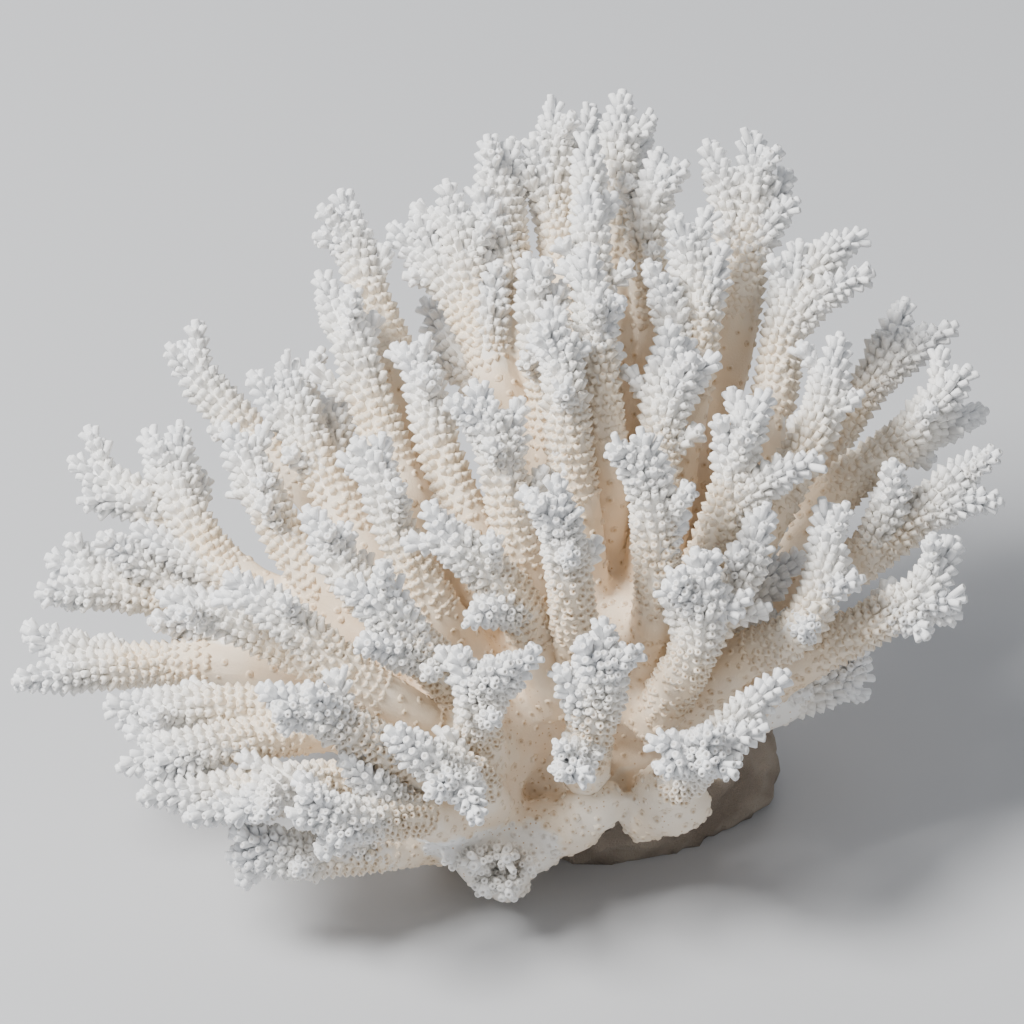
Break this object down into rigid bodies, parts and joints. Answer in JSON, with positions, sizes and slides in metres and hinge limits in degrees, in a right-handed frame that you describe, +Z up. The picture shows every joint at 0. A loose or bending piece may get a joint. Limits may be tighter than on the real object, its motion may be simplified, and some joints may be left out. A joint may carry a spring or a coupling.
{
  "type": "branching coral",
  "caption": "Bleached branching stony coral skeleton: a fan of stout, knobbly limbs spreading from a fused crown on a flat-cut holdfast",
  "frame": {"origin": "middle of the outer box, at the level of the flat foot", "axes": "+Z up from the flat foot; +X to the right of the picture's view; -Y toward the picture's viewer; the tallest limbs lean to +Y"},
  "size_m": [0.196, 0.1449, 0.1258],
  "materials": {
    "limb_skeleton": "matte, rough and porous, bluish white at the tips and cream toward the crown",
    "holdfast_skeleton": "matte grey-brown"
  },
  "bodies": {
    "root": {"holdfast": "holdfast_skeleton", "back_mid": "limb_skeleton", "back_fan": "limb_skeleton", "back_right_spire": "limb_skeleton", "back_mid_front": "limb_skeleton", "back_front_stub": "limb_skeleton", "back_left_tall": "limb_skeleton", "back_left_inner": "limb_skeleton", "upper_left_fork": "limb_skeleton", "upper_left_hook": "limb_skeleton", "upper_left_low": "limb_skeleton", "upper_left_long": "limb_skeleton", "upper_left_stout": "limb_skeleton", "upper_left_front": "limb_skeleton", "centre_left": "limb_skeleton", "centre_tall": "limb_skeleton", "centre_front": "limb_skeleton", "centre_right_front": "limb_skeleton", "centre_right_back": "limb_skeleton", "right_back_mid": "limb_skeleton", "right_back_tall": "limb_skeleton", "right_back_low": "limb_skeleton", "right_fan_upper": "limb_skeleton", "right_fan_mid": "limb_skeleton", "right_front_long": "limb_skeleton", "right_front_mid": "limb_skeleton", "right_fan_low": "limb_skeleton", "right_low_long": "limb_skeleton", "right_front_short": "limb_skeleton", "right_inner": "limb_skeleton", "right_front_stout": "limb_skeleton", "right_front_spur": "limb_skeleton", "right_skirt": "limb_skeleton", "front_right_head": "limb_skeleton", "front_mid": "limb_skeleton", "front_mid_star": "limb_skeleton", "front_fork": "limb_skeleton", "front_tee": "limb_skeleton", "front_left_blue": "limb_skeleton", "left_front_blue": "limb_skeleton", "left_inner": "limb_skeleton", "left_finger": "limb_skeleton", "left_stout": "limb_skeleton", "left_long": "limb_skeleton", "left_mid": "limb_skeleton", "left_upper_fan": "limb_skeleton", "left_far_fan": "limb_skeleton", "left_low": "limb_skeleton", "left_low_upper": "limb_skeleton", "left_blue": "limb_skeleton", "left_front_spur": "limb_skeleton", "left_front_low": "limb_skeleton", "left_front_star": "limb_skeleton", "low_left_upper": "limb_skeleton", "low_left_mid": "limb_skeleton", "low_left_star": "limb_skeleton", "low_left_skirt": "limb_skeleton", "rear_left": "limb_skeleton", "rear_mid": "limb_skeleton", "rear_right": "limb_skeleton"}
  },
  "joints": []
}
